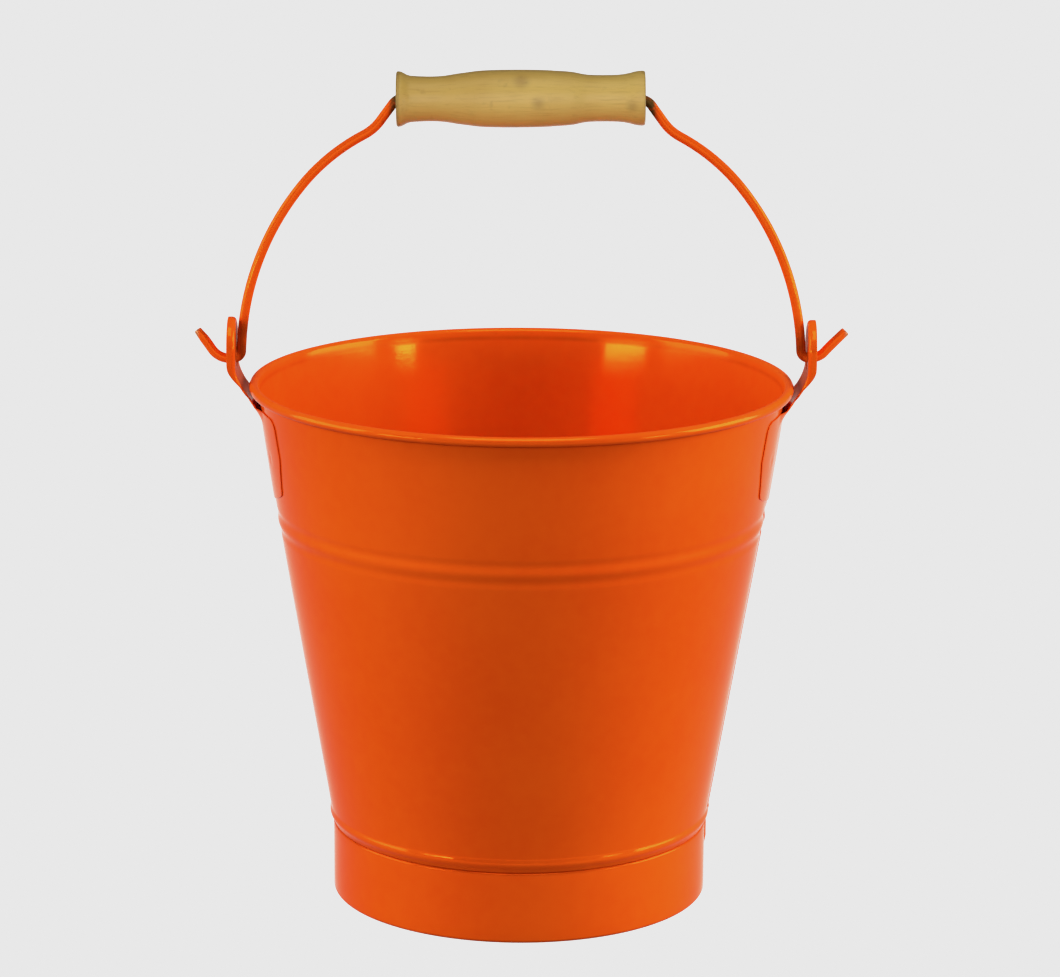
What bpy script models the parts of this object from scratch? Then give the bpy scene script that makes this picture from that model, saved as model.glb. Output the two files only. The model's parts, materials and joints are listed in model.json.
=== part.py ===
"""A small painted steel sand pail: rolled wall, foot ring, base, ears, wire bail and wooden grip.

Run with: blender --background --python part.py

Units are metres and +Z is up.  The origin is the middle of the circle that the foot stands on.
The two ears, and the hooks of the bail that hang in them, point along +X and -X.
"""
import math

import bmesh
import bpy
from mathutils import Matrix, Vector

MM = 0.001

# Driving dimensions, in millimetres ---------------------------------------------------------
TURN_STEPS = 66            # facets round the pail; one is centred on +X and one on -X
GAP = 0.3                  # clearance kept between pieces that touch on the real pail

RIM_HEIGHT = 175.5         # top of the curled rim
RIM_R = 90.4               # outer radius of the curled rim
CONE_FOOT_Z = 24.0         # height where the slanting wall meets the upright foot
CONE_FOOT_R = 63.1         # outer radius of the wall at that height
CONE_SLOPE = 0.171         # growth of the wall's radius for each millimetre of height
WALL_SHEET = 0.5           # thickness of the wall's sheet

RIM_WIRE_R = 0.9           # radius of the wire inside the curled rim
CURL_MID_R = 1.4           # radius of the curl, measured at the middle of the sheet
CURL_END = -130.0          # where the curl stops, as an angle round the wire

RIB_Z = 129.0              # middle of the rolled rib with a groove on each side
RIB_PITCH = 6.6            # distance between its two grooves
RIB_RISE = 0.35            # how far the rib stands out
SEAM_RISE = 0.5            # how far the folded side seam stands out
SEAM_LOW_Z = 29.6
SEAM_HIGH_Z = 169.0        # the wall turns upright here, to run into the curl

BEAD_RISE = 0.64           # how far the lower bead stands out
BEAD_BLEND = 4.0           # height over which the bead dies out into the wall
BEAD_CORNER = 1.2          # radius of the bead's lower corner
LIP_R = 61.4               # inner radius of the lip that the wall folds in under the base

FOOT_SHEET = 0.6
FOOT_R = 63.1              # outer radius of the upright foot ring
HEM_HEIGHT = 4.5           # height of the foot ring's folded hem
BASE_SHEET = 0.6
BASE_PANEL_R = 54.0        # radius of the base's raised middle
BASE_PANEL_RISE = 1.5
BASE_FLANGE_TOP = 29.0     # top of the base's upturned edge

EAR_SHEET = 0.9
EAR_FACE_X = 95.0          # inner face of the upright tab
EAR_GAP_PLAIN = 0.35       # from the wall to the left ear
EAR_GAP_SEAM = 0.85        # from the wall to the right ear, which lies over the side seam
EAR_LOW_Z = 136.5          # lowest point of the shield
EAR_WING_Z = 170.5         # top edge of the shield's wings, just below the curl
EAR_HALF = 37.0            # half width of the shield at its top
EAR_HALF_LOW = 33.5        # half width of the shield at its bottom corners
EAR_CORNER_Z = 143.0
EAR_RISE_FROM = 160.5      # the sheet starts to leave the wall here
EAR_RISE_TO = 178.5        # and is upright from here
TAB_HALF = 8.6             # half width of the tab, before its flange
TAB_ARCH_Z = 186.0         # centre of the tab's round top
TAB_BEND = 1.4             # radius of the bend into the flange
TAB_FLANGE = 2.8           # depth of the flange from the tab's inner face
FLANGE_FROM = 176.0
FLANGE_FULL = 181.0
PIVOT_Z = 182.0            # the bail's axis
HOLE_R = 2.4

WIRE_R = 1.6               # bail wire
LEG_X = 92.8               # the bail's upright legs
ELBOW_R = 2.6              # bend from the leg out through the ear
HOOK_R = 30.0
HOOK_ANGLES = (25.0, 52.0)
BAIL_TOP_Z = 269.3         # axis of the grip
BAIL_STRAIGHT = 39.0       # half length of the straight run inside the grip

GRIP_HALF = 40.9
GRIP_R = 9.6               # at the swollen middle
GRIP_NECK_R = 7.5
GRIP_LIP_R = 9.05
GRIP_BORE_R = 2.8
GRIP_EDGE = 0.8            # broken edge at the ends, inside and out
GRIP_STEPS = 28


# Helpers ------------------------------------------------------------------------------------
def clear_scene():
    for item in list(bpy.data.objects):
        bpy.data.objects.remove(item, do_unlink=True)


def paint(name, colour, roughness, metallic):
    """A plain material with one colour."""
    material = bpy.data.materials.new(name)
    material.use_nodes = True
    shader = material.node_tree.nodes["Principled BSDF"]
    shader.inputs["Base Color"].default_value = (*colour, 1.0)
    shader.inputs["Roughness"].default_value = roughness
    shader.inputs["Metallic"].default_value = metallic
    return material


def add_object(name, bm, material, origin=(0.0, 0.0, 0.0)):
    """Make an object from a bmesh built in millimetres, with its origin at a given place."""
    bmesh.ops.translate(bm, vec=-Vector(origin), verts=bm.verts)
    bmesh.ops.scale(bm, vec=(MM, MM, MM), verts=bm.verts)
    mesh = bpy.data.meshes.new(name)
    bm.to_mesh(mesh)
    bm.free()
    mesh.materials.append(material)
    mesh.shade_smooth()
    mesh.set_sharp_from_angle(angle=math.radians(35.0))
    item = bpy.data.objects.new(name, mesh)
    item.location = Vector(origin) * MM
    bpy.context.collection.objects.link(item)
    return item


def arc(centre, radius, start, end, steps):
    """Points on a circle from one angle in degrees to another."""
    points = []
    for i in range(steps + 1):
        angle = math.radians(start + (end - start) * i / steps)
        points.append((centre[0] + radius * math.cos(angle), centre[1] + radius * math.sin(angle)))
    return points


def ease(value, low, high):
    """0 below low, 1 above high, and a smooth rise between them."""
    t = min(max((value - low) / (high - low), 0.0), 1.0)
    return t * t * (3.0 - 2.0 * t)


def sheet_outline(path, thickness):
    """Closed outline of a sheet whose middle follows the path, with mitred corners."""
    left = []
    right = []
    for i, point in enumerate(path):
        here = Vector(point)
        before = (here - Vector(path[i - 1])).normalized() if i > 0 else None
        after = (Vector(path[i + 1]) - here).normalized() if i < len(path) - 1 else None
        before = before or after
        after = after or before
        along = (before + after).normalized()
        across = Vector((-along.y, along.x))
        reach = 0.5 * thickness / max(along.dot(before), 0.5)
        left.append(here + across * reach)
        right.append(here - across * reach)
    return left + right[::-1]


def turned(outline, steps, closed=True):
    """Turn an outline of (radius, height) points round the Z axis."""
    bm = bmesh.new()
    start = -math.pi / steps
    verts = [bm.verts.new((r * math.cos(start), r * math.sin(start), z)) for r, z in outline]
    pairs = list(zip(verts, verts[1:]))
    if closed:
        pairs.append((verts[-1], verts[0]))
    edges = [bm.edges.new(pair) for pair in pairs]
    bmesh.ops.spin(bm, geom=verts + edges, cent=(0, 0, 0), axis=(0, 0, 1),
                   angle=2.0 * math.pi, steps=steps, use_merge=True)
    bmesh.ops.remove_doubles(bm, verts=bm.verts, dist=0.001)
    bmesh.ops.recalc_face_normals(bm, faces=bm.faces)
    return bm


def lay_along_x(bm):
    """Turn what was made along Z so that it lies along X."""
    bmesh.ops.rotate(bm, verts=bm.verts, cent=(0, 0, 0), matrix=Matrix.Rotation(0.5 * math.pi, 3, "Y"))


def wall_radius(z):
    """Outer radius of the slanting wall."""
    return CONE_FOOT_R + CONE_SLOPE * (z - CONE_FOOT_Z)


# The pail's sheet metal ---------------------------------------------------------------------
def curl_centre():
    """Middle of the rim wire, as (radius, height)."""
    reach = CURL_MID_R + 0.5 * WALL_SHEET
    return RIM_R - reach, RIM_HEIGHT - reach


def wall_path():
    """Middle of the wall's sheet, from the lip under the base up to the end of the curl."""
    lip_z = CONE_FOOT_Z + GAP + 0.5 * WALL_SHEET
    bead_z = lip_z + BEAD_CORNER
    bead_r = wall_radius(bead_z) - 0.5 * WALL_SHEET + BEAD_RISE
    path = [(LIP_R, lip_z)]
    path += arc((bead_r - BEAD_CORNER, bead_z), BEAD_CORNER, -90.0, 0.0, 3)
    for i in (1, 2, 3):
        share = i / 3
        bump = BEAD_RISE * math.cos(0.5 * math.pi * share) ** 2
        z = bead_z + BEAD_BLEND * share
        path.append((wall_radius(z) - 0.5 * WALL_SHEET + bump, z))
    quarter = 0.25 * RIB_PITCH
    for i in range(-4, 5):
        z = RIB_Z + quarter * i
        fade = math.cos(math.pi * i / 10) ** 2
        wave = RIB_RISE * math.cos(0.5 * math.pi * i) * fade if abs(i) < 4 else 0.0
        path.append((wall_radius(z) - 0.5 * WALL_SHEET + wave, z))
    path.append((wall_radius(SEAM_HIGH_Z) - 0.5 * WALL_SHEET, SEAM_HIGH_Z))
    path += arc(curl_centre(), CURL_MID_R, 180.0, CURL_END, 10)
    return path


def add_seam(bm):
    """Raise the folded side seam: the strip of outer faces that looks along +X."""
    strip = []
    for face in bm.faces:
        middle = face.calc_center_median()
        if not SEAM_LOW_Z < middle.z < SEAM_HIGH_Z:
            continue
        if abs(middle.y) < 0.5 and middle.x > 0 and face.normal.x > 0.5:
            strip.append(face)
    raised = bmesh.ops.extrude_face_region(bm, geom=strip)
    verts = [item for item in raised["geom"] if isinstance(item, bmesh.types.BMVert)]
    bmesh.ops.translate(bm, vec=(SEAM_RISE, 0, 0), verts=verts)
    bmesh.ops.delete(bm, geom=strip, context="FACES")


def make_wall(material):
    bm = turned(sheet_outline(wall_path(), WALL_SHEET), TURN_STEPS)
    add_seam(bm)
    return add_object("body_wall", bm, material)


def make_rim_wire(material):
    bm = turned(arc(curl_centre(), RIM_WIRE_R, 0.0, 315.0, 7), TURN_STEPS)
    return add_object("rim_wire", bm, material)


def make_foot_ring(material):
    """The upright ring under the wall, with a flange at the top and a folded hem at the bottom."""
    half = 0.5 * FOOT_SHEET
    middle = FOOT_R - half
    top = CONE_FOOT_Z - half
    path = [(LIP_R, top), (middle - FOOT_SHEET, top), (middle, top - FOOT_SHEET)]
    path += [(middle, 2 * half), (middle - half, half), (middle - 3 * half, half)]
    path += [(middle - 4 * half, 2 * half), (middle - 4 * half, HEM_HEIGHT)]
    bm = turned(sheet_outline(path, FOOT_SHEET), TURN_STEPS)
    return add_object("foot_ring", bm, material)


def make_base(material):
    """The pressed base: a raised middle, a flat margin over the wall's lip, an upturned edge."""
    half = 0.5 * BASE_SHEET
    margin = CONE_FOOT_Z + 2 * GAP + WALL_SHEET + half
    panel = margin + BASE_PANEL_RISE
    top_r = wall_radius(BASE_FLANGE_TOP) - WALL_SHEET - GAP - 0.2 - half
    upper = [(0.0, panel + half), (BASE_PANEL_R, panel + half)]
    upper += [(BASE_PANEL_R + BASE_PANEL_RISE, margin + half), (top_r - 1.0, margin + half)]
    upper += [(top_r - half - 0.3, margin + 1.0), (top_r - half, BASE_FLANGE_TOP)]
    lower = [(top_r + half, BASE_FLANGE_TOP), (top_r + half - 0.3, margin + 0.7)]
    lower += [(top_r - 0.9, margin - half), (BASE_PANEL_R + BASE_PANEL_RISE, margin - half)]
    lower += [(BASE_PANEL_R, panel - half), (0.0, panel - half)]
    bm = turned(upper + lower, TURN_STEPS, closed=False)
    return add_object("base_disc", bm, material)


# The ears -----------------------------------------------------------------------------------
def ear_half_outline():
    """Right half of the flat ear blank, as (side, height) points from the bottom to the top."""
    points = []
    for i in range(5):
        share = i / 4
        points.append((share * (EAR_HALF_LOW - 3.0), EAR_LOW_Z + 4.5 * share * share))
    points += [(EAR_HALF_LOW, EAR_CORNER_Z + 1.0)]
    points += [(EAR_HALF, EAR_WING_Z - 13.0)]
    points += arc((EAR_HALF - 4.0, EAR_WING_Z - 4.0), 4.0, 0.0, 90.0, 3)
    fillet = 5.0
    points += arc((TAB_HALF + fillet, EAR_WING_Z + fillet), fillet, 270.0, 180.0, 3)
    points += [(TAB_HALF, FLANGE_FROM + 2.5), (TAB_HALF, FLANGE_FULL)]
    points += arc((0.0, TAB_ARCH_Z), TAB_HALF, 0.0, 90.0, 6)
    return points


def ear_blank():
    """The flat ear in the YZ plane, cut into strips so that it can be bent."""
    bm = bmesh.new()
    right = ear_half_outline()
    left = [(-side, height) for side, height in right[-2:0:-1]]
    verts = [bm.verts.new((0.0, side, height)) for side, height in right + left]
    bm.faces.new(verts)
    cuts = [((0, side, 0), (0, 1, 0)) for side in (-30, -22, -15, -11, -5.5, 0, 5.5, 11, 15, 22, 30)]
    cuts += [((0, 0, z), (0, 0, 1)) for z in (152, 160.5, 164, 167, 170.4, 173, 176, 178.5, 181)]
    for point, normal in cuts:
        bmesh.ops.bisect_plane(bm, geom=bm.verts[:] + bm.edges[:] + bm.faces[:],
                               plane_co=point, plane_no=normal, dist=0.001)
    return bm


def add_flange(bm):
    """Turn out the edge of the tab, from nothing at its sides to full depth round the top."""
    rim = []
    for edge in bm.edges:
        if edge.is_boundary and all(vert.co.z > FLANGE_FROM - 0.01 for vert in edge.verts):
            rim.append(edge)
    places = {}
    for edge in rim:
        for vert in edge.verts:
            out = Vector((0.0, vert.co.y, max(vert.co.z - TAB_ARCH_Z, 0.0))).normalized()
            full = 0.15 + 0.85 * ease(vert.co.z, FLANGE_FROM, FLANGE_FULL)
            places[vert] = (vert.co.copy(), out, full)
    steps = [(TAB_BEND * math.sin(math.radians(a)), TAB_BEND * (1 - math.cos(math.radians(a))))
             for a in (30, 60, 90)]
    steps.append((TAB_BEND, TAB_FLANGE))
    for outward, lift in steps:
        grown = bmesh.ops.extrude_edge_only(bm, edges=rim)["geom"]
        new_edges = [item for item in grown if isinstance(item, bmesh.types.BMEdge)]
        new_verts = [item for item in grown if isinstance(item, bmesh.types.BMVert)]
        following = {}
        for vert in new_verts:
            source = min(places, key=lambda old: (old.co - vert.co).length)
            following[vert] = places[source]
        for vert, (foot, out, full) in following.items():
            vert.co = foot + (out * outward + Vector((lift, 0, 0))) * full
        rim = [edge for edge in new_edges if all(vert in following for vert in edge.verts)]
        places = following


def bend_ear(bm, side, gap):
    """Lay the lower part on the wall and carry the tab out past the rim, upright."""
    for vert in bm.verts:
        lift, across, z = vert.co
        centred = 1.0 - ease(abs(across), 11.0, 20.0)
        free = ease(z, EAR_RISE_FROM, EAR_RISE_TO) * centred
        if z > EAR_RISE_TO:
            free = 1.0
        on_wall = wall_radius(z) + gap
        face_x = on_wall + (EAR_FACE_X - on_wall) * free
        bend = (1.0 - free) / on_wall
        if bend > 1e-6:
            x = face_x - (1.0 - math.cos(across * bend)) / bend
            y = math.sin(across * bend) / bend
        else:
            x = face_x
            y = across
        vert.co = Vector((side * (x + lift), y, z))


def make_ear(name, side, gap, material):
    bm = ear_blank()
    add_flange(bm)
    bend_ear(bm, side, gap)
    bm.normal_update()
    bmesh.ops.recalc_face_normals(bm, faces=bm.faces)
    if sum(face.normal.x * face.calc_area() for face in bm.faces) * side < 0:
        bmesh.ops.reverse_faces(bm, faces=bm.faces)
    ear = add_object(name, bm, material)
    thicken = ear.modifiers.new("sheet", "SOLIDIFY")
    thicken.thickness = EAR_SHEET * MM
    thicken.offset = 1.0
    thicken.use_even_offset = True
    cutter = add_hole_cutter(name + "_hole", side)
    cut = ear.modifiers.new("hole", "BOOLEAN")
    cut.operation = "DIFFERENCE"
    cut.object = cutter
    cut.solver = "EXACT"
    return ear


def add_hole_cutter(name, side):
    """A short round bar along X that cuts the bail's hole in an ear."""
    bm = bmesh.new()
    bmesh.ops.create_cone(bm, cap_ends=True, segments=16, radius1=HOLE_R, radius2=HOLE_R, depth=6.0)
    lay_along_x(bm)
    bmesh.ops.translate(bm, vec=(side * EAR_FACE_X, 0, PIVOT_Z), verts=bm.verts)
    cutter = add_object(name, bm, paint(name, (0.5, 0.5, 0.5), 0.5, 0.0))
    cutter.hide_render = True
    cutter.display_type = "WIRE"
    return cutter


# The bail and its grip ----------------------------------------------------------------------
class WirePath:
    """A run of wire in the XZ plane, made of straight stretches and round bends."""

    def __init__(self, x, z, heading):
        self.points = [(x, z)]
        self.heading = heading

    def straight(self, length):
        x, z = self.points[-1]
        angle = math.radians(self.heading)
        self.points.append((x + length * math.cos(angle), z + length * math.sin(angle)))

    def bend(self, radius, heading, steps):
        """Turn to a new heading in degrees; a smaller heading is a turn to the right."""
        x, z = self.points[-1]
        turn = 1.0 if heading > self.heading else -1.0
        start = math.radians(self.heading)
        for i in range(1, steps + 1):
            angle = math.radians(self.heading + (heading - self.heading) * i / steps)
            new_x = x + turn * radius * (math.sin(angle) - math.sin(start))
            new_z = z - turn * radius * (math.cos(angle) - math.cos(start))
            self.points.append((new_x, new_z))
        self.heading = heading


def bail_half():
    """One half of the bail, from the middle of the grip to the tip of the hook."""
    wire = WirePath(0.0, BAIL_TOP_Z, 0.0)
    wire.straight(BAIL_STRAIGHT)
    wire.bend(6.0, -69.0, 5)
    wire.bend(16.0, -28.0, 4)
    wire.bend(66.5, -51.0, 5)
    leg_turn = math.radians(-wire.heading)
    last_r = (LEG_X - wire.points[-1][0]) / (1.0 - math.sin(leg_turn))
    wire.bend(last_r, -90.0, 7)
    wire.straight(wire.points[-1][1] - PIVOT_Z - ELBOW_R)
    wire.bend(ELBOW_R, HOOK_ANGLES[0], 7)
    wire.bend(HOOK_R, HOOK_ANGLES[1], 4)
    return wire.points


def make_bail(material):
    right = bail_half()
    left = [(-x, z) for x, z in right[:0:-1]]
    points = left + right[1:]
    curve = bpy.data.curves.new("bail_wire", "CURVE")
    curve.dimensions = "3D"
    curve.bevel_depth = WIRE_R * MM
    curve.bevel_resolution = 2
    curve.use_fill_caps = True
    line = curve.splines.new("POLY")
    line.points.add(len(points) - 1)
    for slot, (x, z) in zip(line.points, points):
        slot.co = (x * MM, 0.0, (z - PIVOT_Z) * MM, 1.0)
    curve.materials.append(material)
    bail = bpy.data.objects.new("bail_wire", curve)
    bail.location = (0.0, 0.0, PIVOT_Z * MM)
    bpy.context.collection.objects.link(bail)
    return bail


def grip_radius(x):
    """Radius of the turned grip: a swollen middle, slim necks and a flared lip at each end."""
    swell = GRIP_R - 0.6 * min(abs(x) / 16.0, 1.0) ** 2 - GRIP_NECK_R
    lip = GRIP_LIP_R - GRIP_NECK_R
    return GRIP_NECK_R + swell * (1.0 - ease(abs(x), 16.0, 25.0)) + lip * ease(abs(x), 29.0, 39.0)


def make_grip(material):
    """Turned between centres along Z, then laid along X."""
    ends = GRIP_HALF
    places = [-ends + GRIP_EDGE, -38.5, -36, -32.5, -29, -25, -22, -19, -16, -10, -4]
    places += [-x for x in places[::-1]]
    outline = [(GRIP_BORE_R + GRIP_EDGE, -ends), (GRIP_LIP_R - GRIP_EDGE, -ends)]
    outline += [(grip_radius(x), x) for x in places]
    outline += [(GRIP_LIP_R - GRIP_EDGE, ends), (GRIP_BORE_R + GRIP_EDGE, ends)]
    outline += [(GRIP_BORE_R, ends - GRIP_EDGE), (GRIP_BORE_R, GRIP_EDGE - ends)]
    bm = turned(outline, GRIP_STEPS)
    lay_along_x(bm)
    bmesh.ops.translate(bm, vec=(0, 0, BAIL_TOP_Z), verts=bm.verts)
    return add_object("wooden_grip", bm, material, origin=(0.0, 0.0, BAIL_TOP_Z))


# The whole pail -----------------------------------------------------------------------------
def main():
    clear_scene()
    orange = paint("orange_paint", (0.80, 0.115, 0.012), 0.25, 0.0)
    steel = paint("bare_steel", (0.55, 0.55, 0.56), 0.35, 1.0)
    wood = paint("pale_wood", (0.60, 0.40, 0.17), 0.45, 0.0)

    make_wall(orange)
    make_rim_wire(steel)
    make_foot_ring(orange)
    make_base(orange)
    make_ear("ear_right", 1, EAR_GAP_SEAM, orange)
    make_ear("ear_left", -1, EAR_GAP_PLAIN, orange)
    bail = make_bail(orange)
    grip = make_grip(wood)
    grip.parent = bail
    grip.location -= bail.location


main()
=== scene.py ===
# %% [markdown]
# # An enamelled sand pail with a wooden grip
# The pail's measured solids come in first, as a fixed frame. All but one of them are then replaced by
# finer pieces in the same places. These carry the small things that make sheet metal and turned wood
# believable: rolled edges, a folded seam, thick glossy paint, grain and a little wear, with painted shade
# in the creases.

# %% Load the frame
import json
import math

import bmesh
import bpy
from mathutils import Matrix, Vector


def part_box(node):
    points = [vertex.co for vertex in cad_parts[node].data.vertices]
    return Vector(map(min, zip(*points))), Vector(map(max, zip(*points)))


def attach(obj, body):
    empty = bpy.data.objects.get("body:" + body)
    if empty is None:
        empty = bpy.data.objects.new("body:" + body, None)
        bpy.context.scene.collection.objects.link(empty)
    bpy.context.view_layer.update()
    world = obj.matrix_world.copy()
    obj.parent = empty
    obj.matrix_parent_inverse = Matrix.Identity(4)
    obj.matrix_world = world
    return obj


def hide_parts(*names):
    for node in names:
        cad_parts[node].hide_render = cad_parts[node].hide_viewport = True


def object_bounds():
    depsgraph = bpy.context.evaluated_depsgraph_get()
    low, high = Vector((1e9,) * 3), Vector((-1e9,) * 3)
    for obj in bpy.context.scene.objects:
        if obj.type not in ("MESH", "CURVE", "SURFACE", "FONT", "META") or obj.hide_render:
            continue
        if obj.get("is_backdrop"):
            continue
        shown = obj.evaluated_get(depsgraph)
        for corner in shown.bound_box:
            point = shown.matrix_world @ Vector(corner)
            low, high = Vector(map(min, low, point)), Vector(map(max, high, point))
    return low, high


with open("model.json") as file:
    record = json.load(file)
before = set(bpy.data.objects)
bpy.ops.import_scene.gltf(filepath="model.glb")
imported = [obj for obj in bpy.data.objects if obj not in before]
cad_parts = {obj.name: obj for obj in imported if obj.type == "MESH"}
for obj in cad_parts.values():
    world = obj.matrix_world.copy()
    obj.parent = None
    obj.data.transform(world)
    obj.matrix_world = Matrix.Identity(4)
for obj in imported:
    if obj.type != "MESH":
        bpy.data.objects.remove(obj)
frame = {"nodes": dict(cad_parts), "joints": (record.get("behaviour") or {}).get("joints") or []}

cad_low, cad_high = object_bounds()
print("frame:", [round(side * 1000, 1) for side in cad_high - cad_low], "mm")

# %% [markdown]
# The rest of the lesson thinks in millimetres, as a tinsmith does, and turns to metres only when a
# piece is finished. The main sizes could be typed in again, but they are read from the frame instead,
# so that the pieces go on fitting the solids if those ever change.

# %% Sizes taken from the frame
MM = 0.001

wall_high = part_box("body_wall")[1] / MM
foot_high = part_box("foot_ring")[1] / MM
grip_low, grip_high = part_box("wooden_grip")
grip_axis = (grip_low + grip_high) / (2 * MM)
pivots = {joint["name"]: Vector(joint["pos_m"]) / MM for joint in frame["joints"]}
RIM_TOP = wall_high.z
RIM_R = wall_high.y
FOOT_TOP = foot_high.z
FOOT_R = foot_high.y
PIVOT_Z = pivots["bail_swing"].z
print("rim", round(RIM_R, 1), "at", round(RIM_TOP, 1), "and foot", round(FOOT_R, 1))
print("the bail turns at", round(PIVOT_Z, 1))

# %% [markdown]
# ## Shader sums
# A paint or wood finish is mostly arithmetic on patterns. Wiring each sum by hand hides the idea, so
# this small class wraps one output socket. Adding or multiplying wrapped sockets adds Math nodes, and
# `node` adds any other node.

# %% A socket that can be used in sums
class Pattern:
    """One output socket of a material's nodes."""

    def __init__(self, tree, socket=None):
        self.tree = tree
        self.socket = socket

    def node(self, kind, settings=None, inputs=None, output=None):
        """Add a node: first its settings, then a value or a pattern for each named input."""
        made = self.tree.nodes.new("ShaderNode" + kind)
        for name, value in (settings or {}).items():
            setattr(made, name, value)
        for name, value in (inputs or {}).items():
            if isinstance(name, int):
                socket = made.inputs[name]
            else:
                socket = next(item for item in made.inputs if item.enabled and item.name == name)
            if isinstance(value, Pattern):
                self.tree.links.new(value.socket, socket)
            else:
                socket.default_value = value
        outputs = [item for item in made.outputs if item.enabled]
        socket = next(item for item in outputs if output in (None, item.name))
        return Pattern(self.tree, socket)

    def math(self, operation, *values):
        return self.node("Math", {"operation": operation}, dict(enumerate(values)))

    def __add__(self, other):
        return self.math("ADD", self, other)

    def __radd__(self, other):
        return self.math("ADD", other, self)

    def __sub__(self, other):
        return self.math("SUBTRACT", self, other)

    def __rsub__(self, other):
        return self.math("SUBTRACT", other, self)

    def __mul__(self, other):
        return self.math("MULTIPLY", self, other)

    def __rmul__(self, other):
        return self.math("MULTIPLY", other, self)

    def __abs__(self):
        return self.math("ABSOLUTE", self)

    def rise(self, low, high):
        """0 up to low, 1 from high on, and a smooth slope between them."""
        inputs = {"Value": self, "From Min": low, "From Max": high, "To Min": 0.0, "To Max": 1.0}
        return self.node("MapRange", {"interpolation_type": "SMOOTHSTEP"}, inputs)

    def near(self, place, width):
        """1 at a place and 0 from a width away."""
        return 1 - abs(self - place).rise(0.0, width)

    def blend(self, first, second):
        """Colour that goes from the first, where this pattern is 0, to the second, where it is 1."""
        settings = {"data_type": "RGBA", "clamp_factor": True}
        return self.node("Mix", settings, {"Factor": self, "A": first, "B": second})


# %% [markdown]
# Every finish starts in the same way: a Principled shader, and the place on the piece in Object
# coordinates. The pieces sit at the origin with their places in their meshes, so one paint pattern
# runs on from the wall to the ears, and it stays put when the bail swings. A UV map could carry the
# patterns too, but these shapes would need seams in it, and a clouded coat of paint has none.

# %% Start a finish
def new_finish(name, constants):
    """A material with its fixed values set on the shader; gives the shader and the place too."""
    material = bpy.data.materials.new(name)
    material.use_nodes = True
    tree = material.node_tree
    shader = tree.nodes["Principled BSDF"]
    for socket, value in constants.items():
        shader.inputs[socket].default_value = value
    return material, shader, Pattern(tree).node("TexCoord", output="Object")


def split(place):
    """The x, y and z of a place as three patterns."""
    return [place.node("SeparateXYZ", inputs={"Vector": place}, output=axis) for axis in "XYZ"]


def plug(shader, **patterns):
    """Join patterns to the shader's sockets; Base_Color stands for Base Color."""
    for name, pattern in patterns.items():
        pattern.tree.links.new(pattern.socket, shader.inputs[name.replace("_", " ")])


def noise(place, scale, detail=2.0, roughness=0.5, distortion=0.0):
    """Cloudy pattern from 0 to 1 with a given number of clouds to the metre."""
    inputs = {"Vector": place, "Scale": scale, "Detail": detail, "Roughness": roughness,
              "Distortion": distortion}
    return place.node("TexNoise", inputs=inputs)


def bumps(height, depth, below=None):
    """Turn a height pattern into a bent normal; depth is the full height in metres."""
    inputs = {"Height": height, "Distance": depth, "Strength": 1.0}
    if below is not None:
        inputs["Normal"] = below
    return height.node("Bump", inputs=inputs)


# %% [markdown]
# ## The orange enamel
# The pail is dipped or sprayed with a thick glossy paint after it is made. Thick paint has two marks:
# the colour is a little uneven where the coat pools or thins, and the surface has a fine orange peel.
# The creases beside the rolled joints are darkened with painted shade. The shine takes the colour of the
# pigment, so its highlights are golden rather than white. A clear coat over a matt colour is the usual
# way to make paint, but its reflections are white, so a little metallic shine is used instead.

# %% Paint colours
ORANGE_THIN = (0.82, 0.090, 0.006, 1.0)
ORANGE_THICK = (0.77, 0.072, 0.005, 1.0)
# Painted shade: the dark colour for the creases, the legs and the inner faces of the tabs
CREASE_SHADE = (0.20, 0.022, 0.002, 1.0)
# Dark for the darker marks, including painted shade round the ears' holes
MARK_AND_SHADE_DARK = (0.085, 0.040, 0.010, 1.0)
BARE_STEEL = (0.40, 0.135, 0.055, 1.0)
GOLDEN_SHINE = (1.0, 0.38, 0.0, 1.0)
PIGMENT_SHINE = 0.2
PAINT_SHADER = {"Specular IOR Level": 0.015, "Specular Tint": GOLDEN_SHINE, "Metallic": PIGMENT_SHINE}
GLOSS = 0.095
MOTTLED_DULLS = 0.03
POOLED_DULLS = 0.02
SMUDGE_DULLS = 0.03
# The next three dull the painted shade in creases, the darker marks and the painted shade on the tabs
CREASE_SHADE_DULLS = 0.25
DARK_MARK_DULLS = 0.22
TAB_SHADE_DULLS = 0.3
BARE_DULLS = 0.2
PEEL_DEPTH = 0.000012
WAVE_DEPTH = 0.00022
# The dullest paint is in the painted shade on the ears' tabs
print("gloss from", GLOSS, "on clean paint to", round(GLOSS + TAB_SHADE_DULLS, 3), "in grime")
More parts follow.
